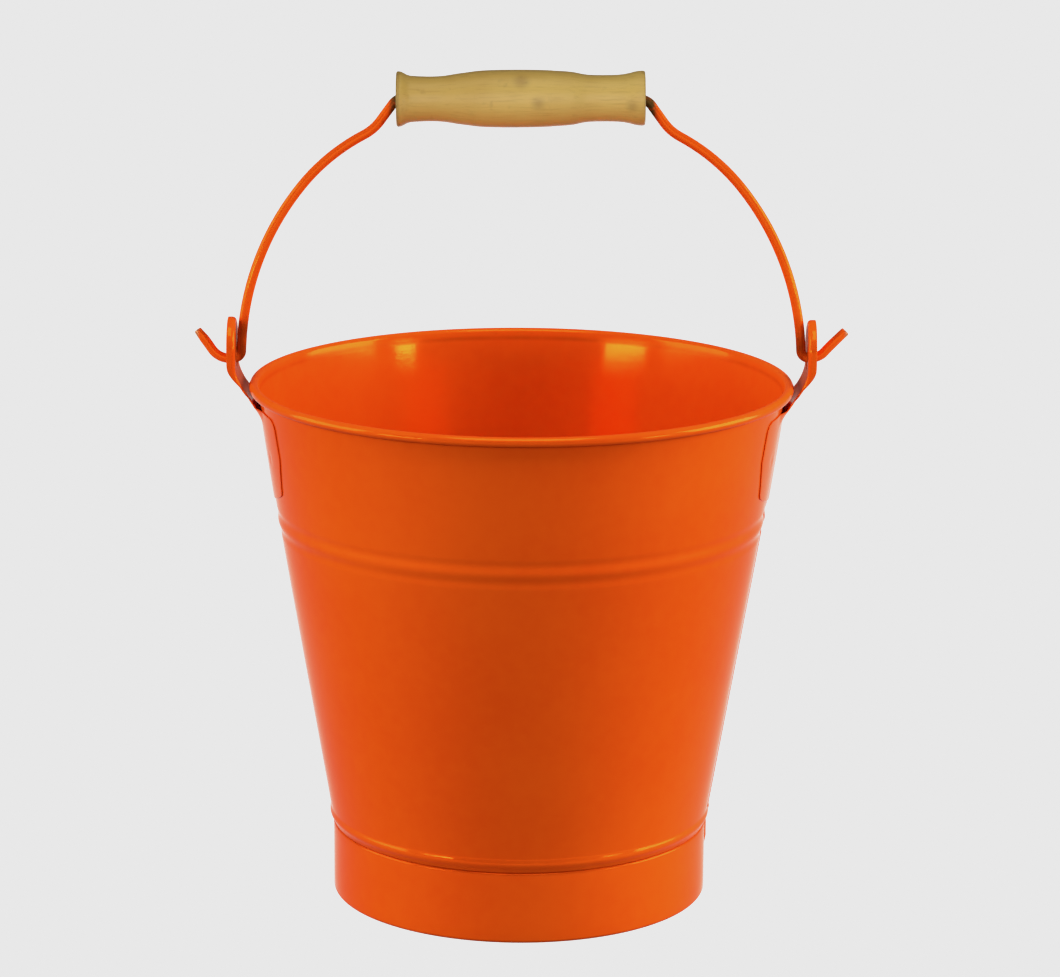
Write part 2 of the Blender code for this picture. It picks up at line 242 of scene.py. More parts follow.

# %% [markdown]
# One function makes the paint for every piece, because the whole pail went through the same coat. What
# differs is where it darkens, so each piece hands in masks for painted shade in its creases, for its
# darker marks and for its bare ends. A mask is a function of x, y and z, which keeps these marks in fixed
# places on the object.

# %% The enamel
def enamel(name, shaded_creases=(), bare=None, dark_marks=None, painted_shade=None):
    """Orange enamel. Painted shade in the creases, bare metal and darker marks are masks made from the
    x, y, z patterns, and the last argument names a value stored on the piece's own points that paints
    shade."""
    material, shader, place = new_finish(name, PAINT_SHADER)
    axes = split(place)
    pooled = noise(place, 14.0, detail=3.0)
    mottled = noise(place, 240.0, detail=2.0)
    coat = (pooled * 0.75 + mottled * 0.25).rise(0.32, 0.70)
    colour = coat.blend(ORANGE_THICK, ORANGE_THIN)
    gloss = GLOSS + MOTTLED_DULLS * mottled + POOLED_DULLS * pooled
    smudges = noise(place, 30.0, detail=4.0, roughness=0.6, distortion=0.6).rise(0.52, 0.80)
    gloss = gloss + smudges * SMUDGE_DULLS
    # Painted shade in the creases makes the paint darker and duller there
    if shaded_creases:
        crease_shade = sum((crease(*axes) for crease in shaded_creases), 0.0)
        crease_shade = crease_shade * noise(place, 90.0, detail=3.0).rise(0.10, 0.55)
        colour = crease_shade.blend(colour, CREASE_SHADE)
        gloss = gloss + crease_shade * CREASE_SHADE_DULLS
    # Darker marks, with painted shade round the ears' holes
    if dark_marks is not None:
        marked = dark_marks(*axes) * noise(place, 700.0, detail=4.0, roughness=0.65).rise(0.15, 0.50)
        colour = marked.blend(colour, MARK_AND_SHADE_DARK)
        gloss = gloss + marked * DARK_MARK_DULLS
    # Painted shade on the inner faces of the ears' tabs, from a value stored on their points
    if painted_shade is not None:
        stored = place.node("Attribute", {"attribute_name": painted_shade}, output="Fac")
        colour = (stored * 0.85).blend(colour, CREASE_SHADE)
        gloss = gloss + stored * TAB_SHADE_DULLS
        plug(shader, Metallic=PIGMENT_SHINE - PIGMENT_SHINE * stored)
    peel = noise(place, 620.0, detail=2.0, roughness=0.45)
    waves = noise(place, 22.0, detail=1.0)
    normal = bumps(peel, PEEL_DEPTH, bumps(waves, WAVE_DEPTH))
    if bare is not None:
        metal = bare(*axes)
        colour = metal.blend(colour, BARE_STEEL)
        gloss = gloss + metal * BARE_DULLS
        plug(shader, Metallic=metal * 0.5 + PIGMENT_SHINE)
    plug(shader, Base_Color=colour, Roughness=gloss, Normal=normal)
    return material


# %% [markdown]
# ## Drawing sheet metal
# Wall, foot and base are bodies of revolution in thin sheet. A Solidify modifier could give the sheet
# its thickness, but it leaves square cut edges. Here the profile is drawn as the middle line of the
# sheet, and a closed outline with round ends is laid round it.

# %% Arcs and sheet outlines
def arc(centre, radius, start, end, steps):
    """Points on a circle from one angle in degrees to another."""
    points = []
    for i in range(steps + 1):
        angle = math.radians(start + (end - start) * i / steps)
        points.append((centre[0] + radius * math.cos(angle), centre[1] + radius * math.sin(angle)))
    return points


def ease(value, low, high):
    """0 up to low, 1 from high on, and a smooth slope between them, for plain numbers."""
    t = min(max((value - low) / (high - low), 0.0), 1.0)
    return t * t * (3.0 - 2.0 * t)


def sheet_outline(path, thickness):
    """Closed outline of a sheet whose middle follows the path, with its two cut edges rounded."""
    half = 0.5 * thickness
    left = []
    right = []
    for i, point in enumerate(path):
        here = Vector(point)
        before = (here - Vector(path[max(i - 1, 0)])).normalized()
        after = (Vector(path[min(i + 1, len(path) - 1)]) - here).normalized()
        along = (before + after).normalized()
        across = Vector((-along.y, along.x))
        straightness = along.dot(before if before.length > 0 else after)
        reach = half / max(straightness, 0.5)
        left.append(here + across * reach)
        right.append(here - across * reach)
    ends = []
    for tip, inner in ((path[-1], path[-2]), (path[0], path[1])):
        out = (Vector(tip) - Vector(inner)).normalized()
        heading = math.degrees(math.atan2(out.y, out.x))
        cap = arc(tip, half, heading + 90.0, heading - 90.0, 4)[1:-1]
        ends.append([Vector(point) for point in cap])
    return left + ends[0] + right[::-1] + ends[1]


print("a bent strip has", len(sheet_outline([(0, 0), (5, 0), (9, 2)], 1.0)), "outline points")

# %% [markdown]
# ## Turning sheet metal
# The outline is spun round the Z axis. The side seam needs much finer steps than the rest, so the spin
# has two parts: a short one through the seam and a long one round the rest of the pail. The Screw
# modifier also turns an outline, but only in even steps.

# %% Spin an outline
SEAM_ARC = math.radians(6.0)
SEAM_STEPS = 14
ROUND_STEPS = 228
WELD = 0.002


def turned(outline, closed=True):
    """Spin an outline of (radius, height) points round Z, finely through the seam on +X."""
    bm = bmesh.new()
    start = -0.5 * SEAM_ARC
    verts = [bm.verts.new((r * math.cos(start), r * math.sin(start), z)) for r, z in outline]
    pairs = list(zip(verts, verts[1:]))
    if closed:
        pairs.append((verts[-1], verts[0]))
    geom = verts + [bm.edges.new(pair) for pair in pairs]
    for angle, steps in ((SEAM_ARC, SEAM_STEPS), (2.0 * math.pi - SEAM_ARC, ROUND_STEPS)):
        swept = bmesh.ops.spin(bm, geom=geom, cent=(0, 0, 0), axis=(0, 0, 1), angle=angle, steps=steps)
        geom = swept["geom_last"]
    bmesh.ops.remove_doubles(bm, verts=bm.verts, dist=WELD)
    bmesh.ops.recalc_face_normals(bm, faces=bm.faces)
    return bm


print("one step is", round(math.degrees(SEAM_ARC) / SEAM_STEPS, 2), "degrees in the seam and",
      round((360.0 - math.degrees(SEAM_ARC)) / ROUND_STEPS, 2), "elsewhere")

# %% [markdown]
# Each piece is finished alike: it is scaled from millimetres to metres, shaded smooth with its real
# corners kept sharp, and told which body it rides on, and the solids that it replaces are hidden.

# %% Finish a piece
def finished(name, bm, material, body, nodes, sharp=38.0):
    """Make the piece from a bmesh in millimetres on its body, and hide the solids that it replaces."""
    bmesh.ops.scale(bm, vec=(MM, MM, MM), verts=bm.verts)
    mesh = bpy.data.meshes.new(name)
    bm.to_mesh(mesh)
    bm.free()
    mesh.materials.append(material)
    mesh.shade_smooth()
    mesh.set_sharp_from_angle(angle=math.radians(sharp))
    piece = bpy.data.objects.new(name, mesh)
    bpy.context.scene.collection.objects.link(piece)
    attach(piece, body)
    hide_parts(*nodes)
    print(name, len(mesh.polygons), "faces,", [round(side * 1000, 1) for side in piece.dimensions])
    return piece


# %% [markdown]
# ## The wall
# On the real pail the wall is one sheet, rolled into a cone and folded together at the side. Its top
# is curled outwards round a wire, which gives the bright bead of the rim. A quarter of the way down
# runs a rolled rib between two shallow grooves, and at the bottom the sheet bulges over the foot.
# The rib and the bulge could be left to a bump in the paint, but they show in the wall's outline, so
# they are part of its profile. First come the slanting line of the wall and the rib on it.

# %% The wall's slope and its rib
WALL_SHEET = 0.5
SLOPE = 0.171
CURL_R = 1.4
CURL_END = -125.0
RIB_Z = 129.0
RIB_QUARTER = 1.65
RIB_RISE = 0.29
RIB_REACH = 4.0
RIB_FADES = 2.2
STEEPENS_Z = 104.0

curl_centre = (RIM_R - CURL_R - 0.5 * WALL_SHEET, RIM_TOP - CURL_R - 0.5 * WALL_SHEET)
curl_low = curl_centre[1] + 0.2
spare = FOOT_R - 0.5 * WALL_SHEET + SLOPE * (curl_low - FOOT_TOP) - (curl_centre[0] - CURL_R)
top_slope = SLOPE - 2.0 * spare / (curl_low - STEEPENS_Z)


def wall_radius(z):
    """Outer radius of the wall: slanting, and a little steeper towards the rim."""
    slanting = FOOT_R + SLOPE * (z - FOOT_TOP)
    past = max(z - STEEPENS_Z, 0.0)
    return slanting - 0.5 * (SLOPE - top_slope) * past * past / (curl_low - STEEPENS_Z)


def rib(z):
    """How far the rolled rib and its grooves stand out at a height."""
    step = (z - RIB_Z) / RIB_QUARTER
    if abs(step) >= RIB_REACH:
        return 0.0
    fade = math.cos(math.pi * step / 10.0) ** 2 * (1.0 - ease(abs(step), RIB_FADES, RIB_REACH))
    return RIB_RISE * math.cos(0.5 * math.pi * step) * fade


groove = -rib(RIB_Z + 2 * RIB_QUARTER)
print("the rib stands out", rib(RIB_Z), "and its grooves lie", round(groove, 2), "deep")

# %% [markdown]
# The profile runs from the lip under the bead, up the wall and round the curl. The bead is one half
# wave that rises fast from the foot and a slower one that dies out above its crest. Points are close
# together only where the sheet bends, because a straight wall needs few of them.

# %% Draw the wall's profile
LIP_INSIDE = 1.7
LIP_GAP = 0.32
BEAD_CORNER = 0.35
BEAD_FOOT = 25.1
BEAD_CREST = 27.1
BEAD_BLEND = 2.3
BEAD_RISE = 0.64

wall_mid = 0.5 * WALL_SHEET
bead_corner = (FOOT_R - wall_mid - BEAD_CORNER, FOOT_TOP + LIP_GAP + BEAD_CORNER)
wall_path = [(FOOT_R - LIP_INSIDE, FOOT_TOP + LIP_GAP)]
wall_path += arc(bead_corner, BEAD_CORNER, -90.0, 0.0, 7)
for step in range(9):
    share = step / 8
    z = BEAD_FOOT + (BEAD_CREST - BEAD_FOOT) * share
    bump = BEAD_RISE * math.sin(0.5 * math.pi * share) ** 2
    wall_path.append((wall_radius(z) - wall_mid + bump, z))
for step in range(1, 10):
    share = step / 9
    z = BEAD_CREST + BEAD_BLEND * share
    bump = BEAD_RISE * math.cos(0.5 * math.pi * share) ** 2
    wall_path.append((wall_radius(z) - wall_mid + bump, z))
heights = [40, 55, 70, 85, 100, 107, 112, 117, 120, 122]
heights += [RIB_Z + RIB_QUARTER * step / 4 for step in range(-16, 17)]
heights += [136, 138, 141, 145, 149, 153, 157, 161, 165, 168, 171]
wall_path += [(wall_radius(z) - wall_mid + rib(z), z) for z in heights]
wall_path += arc(curl_centre, CURL_R, 180.0 - math.degrees(math.atan(top_slope)), CURL_END, 26)
print("wall profile:", len(wall_path), "points")

# %% [markdown]
# The folded side seam is a flat strip about 5 mm wide that stands almost one sheet proud. It runs down
# the right side, under the ear, to the lower bead. It could be a separate strip, but then a gap would
# show along it. The spun wall already has fine columns there, so the strip is raised by moving each
# point of those columns outwards.

# %% Spin the wall and raise its seam
SEAM_HALF = 2.6
SEAM_EDGE = 0.9
SEAM_FADE = 1.5
SEAM_RISE = 0.42
SEAM_LOW = FOOT_TOP + 3.0
SEAM_TOP = 170.0


def raise_seam(bm, low, high, rise):
    """Lift the strip along +X between two heights, with soft edges and soft ends."""
    for vert in bm.verts:
        x, y, z = vert.co
        if x > 0 and abs(y) < SEAM_HALF and low < z < high:
            across = 1.0 - ease(abs(y), SEAM_HALF - SEAM_EDGE, SEAM_HALF)
            ends = ease(z, low, low + SEAM_FADE) * (1.0 - ease(z, high - SEAM_FADE, high))
            vert.co.x += rise * across * ends


def joint_shade(x, y, z):
    """Painted shade in the line where the wall's bead meets the foot."""
    return z.near((FOOT_TOP + 0.5) * MM, 0.0020) * 0.25


def rim_shade(x, y, z):
    """Painted shade under the curl, where it touches the wall; the band is only as high as the wire."""
    return z.near((RIM_TOP - 3.2) * MM, 0.0014) * 0.35


wall_paint = enamel("wall_enamel", shaded_creases=(joint_shade, rim_shade))
bm = turned(sheet_outline(wall_path, WALL_SHEET))
raise_seam(bm, SEAM_LOW, SEAM_TOP, SEAM_RISE)
wall = finished("pail_wall", bm, wall_paint, "bucket", ["body_wall"])

# %% [markdown]
# ## The foot
# The foot is a separate band. Its top is turned in under the wall, and its lower edge is folded back
# inside, so that the pail does not scratch a table. It could be one mesh with the wall, but a real gap
# between two pieces gives the thin dark line of the joint, and painted shade deepens it. Painted shadow
# darkens the edge that stands on the ground. The end of the side seam is knocked down over the foot: a
# short tongue, darker at its tip.

# %% Spin the foot band
FOOT_SHEET = 0.6
FOOT_CORNER = 0.45
HEM_TOP = 4.5
TONGUE_LOW = 15.0
TONGUE_RISE = 0.5

foot_half = 0.5 * FOOT_SHEET
foot_mid = FOOT_R - foot_half
foot_path = [(FOOT_R - LIP_INSIDE, FOOT_TOP - foot_half)]
foot_path += arc((foot_mid - FOOT_CORNER, FOOT_TOP - foot_half - FOOT_CORNER), FOOT_CORNER, 90.0, 0.0, 5)
foot_path += [(foot_mid, z) for z in (20.0, 17.5, 15.0, 12.0, 8.0, 5.0)]
foot_path += arc((foot_mid - FOOT_SHEET, 3 * foot_half), FOOT_SHEET, 0.0, -180.0, 10)
foot_path += [(foot_mid - 2 * FOOT_SHEET, HEM_TOP)]


def tongue_tip_dark(x, y, z):
    """Darker patch at the tip of the seam's tongue, on the right side only."""
    tip = z.near((TONGUE_LOW + 1.6) * MM, 0.0024)
    return (tip * y.near(0.0, 0.0028) * x.rise(0.05, 0.06)).rise(0.10, 0.50) * 0.75


def standing_edge_shadow(x, y, z):
    """Painted shadow along the edge that touches the ground."""
    return 0.55 - 0.55 * z.rise(0.0002, 0.0013)


foot_paint = enamel("foot_enamel", shaded_creases=(joint_shade, standing_edge_shadow), dark_marks=tongue_tip_dark)
bm = turned(sheet_outline(foot_path, FOOT_SHEET))
raise_seam(bm, TONGUE_LOW, FOOT_TOP + 1.0, TONGUE_RISE)
foot = finished("foot_band", bm, foot_paint, "bucket", ["foot_ring"])

# %% [markdown]
# ## The base
# The base is pressed from a disc: a raised middle makes it stiff, and its upturned edge stands against
# the wall. Its outline is not closed, because it starts and ends on the axis, where all its columns
# meet in one point. So its two faces are drawn as separate lines.

# %% Spin the base
BASE_SHEET = 0.6
PANEL_R = 54.0
PANEL_RISE = 1.5
PANEL_BEND = 2.0
EDGE_BEND = 1.2
EDGE_TOP = 29.0
EDGE_GAP = 0.8

base_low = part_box("base_disc")[0].z / MM
margin_z = base_low + 0.5 * BASE_SHEET
panel_z = margin_z + PANEL_RISE
edge_r = wall_radius(EDGE_TOP) - WALL_SHEET - EDGE_GAP


def base_line(offset):
    """One face of the base, a given distance above the sheet's middle."""
    line = [(r, panel_z) for r in (0.0, 12.0, 26.0, 40.0, 50.0)]
    line += arc((PANEL_R - 1.6, panel_z - PANEL_BEND), PANEL_BEND, 90.0, 48.0, 5)
    line += arc((PANEL_R + 1.1, margin_z + PANEL_BEND), PANEL_BEND, 228.0, 270.0, 5)
    line += [(edge_r - 2.0, margin_z)]
    line += arc((edge_r - EDGE_BEND, margin_z + EDGE_BEND), EDGE_BEND, 270.0, 355.0, 6)
    line += [(edge_r + 0.2, EDGE_TOP - 0.3)]
    face = []
    for r, z in line:
        upright = ease(r, edge_r - 1.6, edge_r)
        face.append((r - offset * upright, z + offset * (1.0 - upright)))
    return face


base_paint = enamel("base_enamel")
upper = base_line(0.5 * BASE_SHEET)
lower = base_line(-0.5 * BASE_SHEET)
bm = turned(upper + [(edge_r + 0.2, EDGE_TOP)] + lower[::-1], closed=False)
base = finished("base_pan", bm, base_paint, "bucket", ["base_disc"])

# %% [markdown]
# ## The ears
# Each ear is pressed from one flat plate. The lower part lies on the wall as a shield, the middle
# swings out past the rim, and the upright tab has a flange turned out round its edge and a hole for
# the bail. A tab, a shield and a tube joined by Booleans would look like three parts. The plate is made
# flat here as well, with its hole and softened edges, and is then cut into small cells and bent by
# moving each of its points, as a press does.

# %% Outline of half the flat plate
EAR_SHEET = 0.9
EAR_LOW = 136.5
EAR_WING = 168.0
EAR_WIDE = 33.5
EAR_NARROW = 29.5
WING_CORNER = 4.0
TAB_HALF = 8.6
TAB_ARCH = 186.0
NECK_FILLET = 4.5
FLANGE_FLAT = 3.6
FLANGE_FROM = 170.0
FLANGE_FULL = 181.5
HOLE_R = 2.65


def flange_share(z):
    """How much of the flange there is at a height: none at the neck and all beside the hole."""
    return ease(z, FLANGE_FROM, FLANGE_FULL)


def half_plate():
    """Corner points from the bottom, up the right side, and back down round the hole."""
    points = []
    for step in range(9):
        share = step / 8
        points.append((share * (EAR_NARROW - 3.0), EAR_LOW + 4.5 * share * share))
    points += arc((EAR_NARROW - 3.2, 144.6), 3.4, -68.0, 0.0, 5)
    points += [(EAR_WIDE, EAR_WING - 13.0)]
    points += arc((EAR_WIDE - WING_CORNER, EAR_WING - WING_CORNER), WING_CORNER, 0.0, 90.0, 8)
    points += arc((TAB_HALF + NECK_FILLET, EAR_WING + NECK_FILLET), NECK_FILLET, 270.0, 180.0, 9)
    for z in (173.1, 174.0, 175.0, 176.0, 177.0, 178.0, 179.0, 180.2, 181.5, 184.0):
        points.append((TAB_HALF + FLANGE_FLAT * flange_share(z), z))
    points += arc((0.0, TAB_ARCH), TAB_HALF + FLANGE_FLAT, 0.0, 90.0, 16)
    points += arc((0.0, PIVOT_Z), HOLE_R, 90.0, -90.0, 14)
    return points


print("half plate:", len(half_plate()), "corners")

# %% [markdown]
# Half an outline that passes down one side of the hole is a single face without holes in it. Mirrored,
# it gives a flat plate of two faces, which bevel cleanly. The cuts that let the plate bend come last,
# so they cannot disturb the rounded edges.

# %% Build the flat plate
EDGE_ROUND = 0.2
CELL = 1.15
FINE_CUTS = (0.4, 0.9, 1.4, 1.9, 2.4)


def flat_plate():
    """The plate before bending: x is its thickness, y runs across it and z runs up."""
    bm = bmesh.new()
    verts = [bm.verts.new((0.0, side, height)) for side, height in half_plate()]
    bm.faces.new(verts)
    bmesh.ops.mirror(bm, geom=bm.faces[:] + bm.edges[:] + bm.verts[:], axis="Y", merge_dist=WELD)
    bmesh.ops.remove_doubles(bm, verts=bm.verts, dist=WELD)
    bmesh.ops.recalc_face_normals(bm, faces=bm.faces)
    flat = bm.faces[:]
    grown = bmesh.ops.extrude_face_region(bm, geom=flat, use_keep_orig=True)["geom"]
    tops = [item for item in grown if isinstance(item, bmesh.types.BMVert)]
    bmesh.ops.translate(bm, vec=(EAR_SHEET, 0, 0), verts=tops)
    bmesh.ops.recalc_face_normals(bm, faces=bm.faces)
    rims = [edge for edge in bm.edges if edge.calc_face_angle(0.0) > math.radians(60.0)
            and abs(edge.verts[0].co.x - edge.verts[1].co.x) < 0.01]
    bmesh.ops.bevel(bm, geom=rims, offset=EDGE_ROUND, segments=2, affect="EDGES", profile=0.5,
                    material=-1)
    return bm


def cut_cells(bm):
    """Cut the plate by a grid of planes, with finer rows where the flange turns out."""
    across = [CELL * step for step in range(-32, 33)]
    across += [side * (TAB_HALF + extra) for side in (-1, 1) for extra in FINE_CUTS]
    up = [EAR_LOW + CELL * step for step in range(1, 54)]
    up += [TAB_ARCH + TAB_HALF + extra for extra in FINE_CUTS]
    planes = [((0, place, 0), (0, 1, 0)) for place in across]
    planes += [((0, 0, place), (0, 0, 1)) for place in up]
    for point, normal in planes:
        geom = bm.verts[:] + bm.edges[:] + bm.faces[:]
        bmesh.ops.bisect_plane(bm, geom=geom, plane_co=point, plane_no=normal, dist=0.0005)


plate = flat_plate()
cut_cells(plate)
print("flat plate:", len(plate.faces), "cells")

# %% [markdown]
# Bending is two maps, one after the other. The first turns the flange out of the flat plate: what lies
# past the tab's outline goes round a quarter of a circle and then straight out. Where the flange fades
# away towards the neck, the same turn is made smaller.

# %% First map: turn the flange
TURN_R = 1.4
LEAST_SHARE = 0.05


def turn_flange(side, height):
    """Where a point of the flat plate goes when the flange is turned out."""
    if height < FLANGE_FROM:
        return 0.0, side, height
    rise = max(height - TAB_ARCH, 0.0)
    reach = math.hypot(side, rise)
    over = reach - TAB_HALF
    if over <= 0.0:
        return 0.0, side, height
    out = (side / reach, rise / reach)
    share = max(flange_share(height), LEAST_SHARE)
    along = over / share
    angle = min(along / TURN_R, 0.5 * math.pi)
    outward = TURN_R * math.sin(angle) * share
    lift = (TURN_R * (1.0 - math.cos(angle)) + max(along - 0.5 * math.pi * TURN_R, 0.0)) * share
    return lift, side - out[0] * (over - outward), height - out[1] * (over - outward)


print("edge of the flange:", [round(value, 2) for value in turn_flange(TAB_HALF + FLANGE_FLAT, 184.0)])

# %% [markdown]
# The second map lays the shield on the cone of the wall and carries the tab upright, clear of the rim.
# A Shrinkwrap modifier could lay the shield on, but not carry the tab out in one smooth sweep. The
# right ear goes over the side seam, so it keeps a little more distance there.

# %% Second map: lay the plate on the wall
FACE_X = 94.6
LEAVES_WALL = 162.5
UPRIGHT_FROM = 180.5
WELD_SPOTS = ((-21.0, 153.0), (21.0, 153.0), (0.0, 146.0))
SPOT_R = 2.6
SPOT_DEPTH = 0.2
SEAT_GAP = 0.03
SEAM_REACH = 14.0
OVER_SEAM = {"left": 0.0, "right": SEAM_RISE}


def lay_on_wall(lift, across, z, gap):
    """Wrap the shield round the wall and carry the tab out past the rim."""
    centred = 1.0 - ease(abs(across), 11.0, 20.0)
    free = 1.0 if z > UPRIGHT_FROM else ease(z, LEAVES_WALL, UPRIGHT_FROM) * centred
    on_wall = wall_radius(z) + gap
    face = on_wall + (FACE_X - on_wall) * free
    bend = max((1.0 - free) / on_wall, 1e-7)
    sagitta = (1.0 - math.cos(across * bend)) / bend
    return Vector((face + lift - sagitta, math.sin(across * bend) / bend, z))


def bent(side, height, over_seam):
    """Where a point of the flat plate ends up, and how deep it lies in a weld's dent, from 0 to 1."""
    gap = SEAT_GAP + over_seam * (1.0 - ease(abs(side), SEAM_HALF, SEAM_REACH))
    dent = sum(1.0 - ease(math.hypot(side - y, height - z), 0.4, SPOT_R) for y, z in WELD_SPOTS)
    place = lay_on_wall(*turn_flange(side, height), gap)
    return place - Vector((dent * SPOT_DEPTH, 0, 0)), dent


print("middle of the hole:", [round(value, 2) for value in bent(0.0, PIVOT_Z, 0.0)[0]])

# %% [markdown]
# Thickness is added along the bent surface's own normal, found from two tiny steps across it. The
# shield is made thinner than the tab, because thick paint fills most of the step round it. The painted
# shade on the tab's inner face is stored on the points, because it follows the flat plate and not the bent
# one.

# %% Bend the ears
NUDGE = 0.02
SHIELD_SHEET = 0.4
EAR_SHARP = 50.0
TAB_SHADE = "tab_inner_shade"


def bend_ear(flat, over_seam, hand):
    """Bend a copy of the flat plate; hand is 1 for the right ear and -1 for the left."""
    bm = flat.copy()
    # A layer that stores painted shade for the tab's inner face
    painted_shade = bm.verts.layers.float.new(TAB_SHADE)
    for vert in bm.verts:
        depth, side, height = vert.co
        place, dent = bent(side, height, over_seam)
        sideways = bent(side + NUDGE, height, over_seam)[0] - bent(side - NUDGE, height, over_seam)[0]
        upwards = bent(side, height + NUDGE, over_seam)[0] - bent(side, height - NUDGE, over_seam)[0]
        normal = sideways.cross(upwards).normalized()
        inside = 1.0 - depth / EAR_SHEET
        off_arch = math.hypot(side, max(height - TAB_ARCH, 0.0))
        on_tab = 1.0 - ease(off_arch, TAB_HALF - 0.8, TAB_HALF + 0.6)
        # Painted shade: the inner face of the tab turns dark
        vert[painted_shade] = inside * ease(height, 168.0, 174.0) * on_tab
        if depth < 0.5 * EAR_SHEET:
            place.x += dent * SPOT_DEPTH
        thickness = SHIELD_SHEET + (EAR_SHEET - SHIELD_SHEET) * ease(height, 166.0, 178.0)
        vert.co = place + normal * (depth * thickness / EAR_SHEET)
    if hand < 0:
        bmesh.ops.scale(bm, vec=(-1, 1, 1), verts=bm.verts)
        bmesh.ops.reverse_faces(bm, faces=bm.faces)
    bm.normal_update()
    return bm


def hole_rub_and_shade(x, y, z):
    """Paint worn by the wire round the hole, and painted shade there."""
    from_axis = (y * y + (z - PIVOT_Z * MM) * (z - PIVOT_Z * MM)).math("SQRT")
    return from_axis.near(HOLE_R * MM, 0.0016)


ear_paint = enamel("ear_enamel", dark_marks=hole_rub_and_shade, painted_shade=TAB_SHADE)
ears = []
for name, hand in (("left", -1), ("right", 1)):
    bm = bend_ear(plate, OVER_SEAM[name], hand)
    ear = finished("ear_plate_" + name, bm, ear_paint, "bucket", ["ear_" + name],
                   sharp=EAR_SHARP)
    ears.append(ear)
plate.free()

# %% [markdown]
# ## The bail
# A wire bail is bent cold round pins. A curve with a round bevel would be quicker to draw, but its
# bends are not true arcs. The model is bent as the wire is: a ring of points is carried along by
# straight pulls and by spins round the centre of each bend. Real bails are never quite even. Here the
# left hook dips before it rises, and the right one rises at once.

# %% A wire that is bent like a wire
WIRE_R = 1.6
WIRE_SIDES = 20


class Bending:
    """The free end of a wire in the XZ plane; hand -1 bends the mirror image."""

    def __init__(self, bm, x, z, hand):
        ring = bmesh.ops.create_circle(bm, cap_ends=False, segments=WIRE_SIDES, radius=WIRE_R)
        across = Matrix.Rotation(math.pi / 2, 3, "Y")
        bmesh.ops.rotate(bm, verts=ring["verts"], cent=(0, 0, 0), matrix=across)
        bmesh.ops.translate(bm, vec=(x, 0, z), verts=ring["verts"])
        self.bm = bm
        self.hand = hand
        self.place = Vector((x, 0.0, z))
        self.heading = 0.0
        self.edges = list({edge for vert in ring["verts"] for edge in vert.link_edges})

    def direction(self):
        """The way that the free end points; a heading of 90 degrees is straight up."""
        angle = math.radians(self.heading)
        return Vector((self.hand * math.cos(angle), 0.0, math.sin(angle)))

    def verts(self):
        """The ring of points at the free end."""
        return list({vert for edge in self.edges for vert in edge.verts})

    def straight(self, length, thinner=1.0):
        """Pull the free end straight on, and narrow it where thinner is below 1."""
        grown = bmesh.ops.extrude_edge_only(self.bm, edges=self.edges)["geom"]
        verts = [item for item in grown if isinstance(item, bmesh.types.BMVert)]
        self.edges = [item for item in grown if isinstance(item, bmesh.types.BMEdge)
                      and all(vert in verts for vert in item.verts)]
        bmesh.ops.translate(self.bm, vec=self.direction() * length, verts=verts)
        self.place += self.direction() * length
        if thinner != 1.0:
            middle = Matrix.Translation(-self.place)
            bmesh.ops.scale(self.bm, vec=(thinner,) * 3, space=middle, verts=verts)

    def bend(self, radius, heading, steps):
        """Turn to a new heading in degrees round a pin of a given radius."""
        turn = math.radians(heading - self.heading)
        side = 1.0 if turn > 0 else -1.0
        forward = self.direction()
        up = Vector((-forward.z * self.hand, 0.0, forward.x * self.hand))
        centre = self.place + up * radius * side
        swept = bmesh.ops.spin(self.bm, geom=self.edges + self.verts(), cent=centre,
                               axis=(0, -self.hand, 0), angle=turn, steps=steps)
        last = swept["geom_last"]
        self.edges = [item for item in last if isinstance(item, bmesh.types.BMEdge)]
        self.heading = heading
        ring = self.verts()
        self.place = sum((vert.co for vert in ring), Vector()) / len(ring)


print("wire of", 2 * WIRE_R, "with", WIRE_SIDES, "sides")

# %% [markdown]
# The half bail starts inside the grip. It drops steeply beside the grip's end, kicks outwards, swings
# down in a long bow to an upright leg, turns out through the hole in the ear and ends in the hook. The
# bow's radius is worked out, so that the leg stands where the ear needs it. The two hands differ from
# the leg on: leg_x is where the leg stands, leg the height where it turns out, out and up are headings,
# run and tip are lengths, r is a bend's radius, and end is how thin the hook becomes.

# %% Bend the bail
GRIP_Z = grip_axis.z
BAIL_SHIFT = -0.3
STRAIGHT_HALF = 38.4
LEG_LEAN = -87.0
ELBOW_R = 2.6
TIP_EASE_R = 60.0
TIP_EASE_LENGTH = 4.2
CUT_EDGE = 0.35
HOOKS = {
    1: {"leg_x": 92.9, "leg": 185.75, "out": 8.0, "run": 1.4, "r": 5.5, "up": 49.0, "tip": 9.6,
        "end": 0.95},
    -1: {"leg_x": 92.6, "leg": 184.6, "out": -6.0, "run": 0.9, "r": 7.0, "up": 57.0, "tip": 7.6,
         "end": 0.8},
}


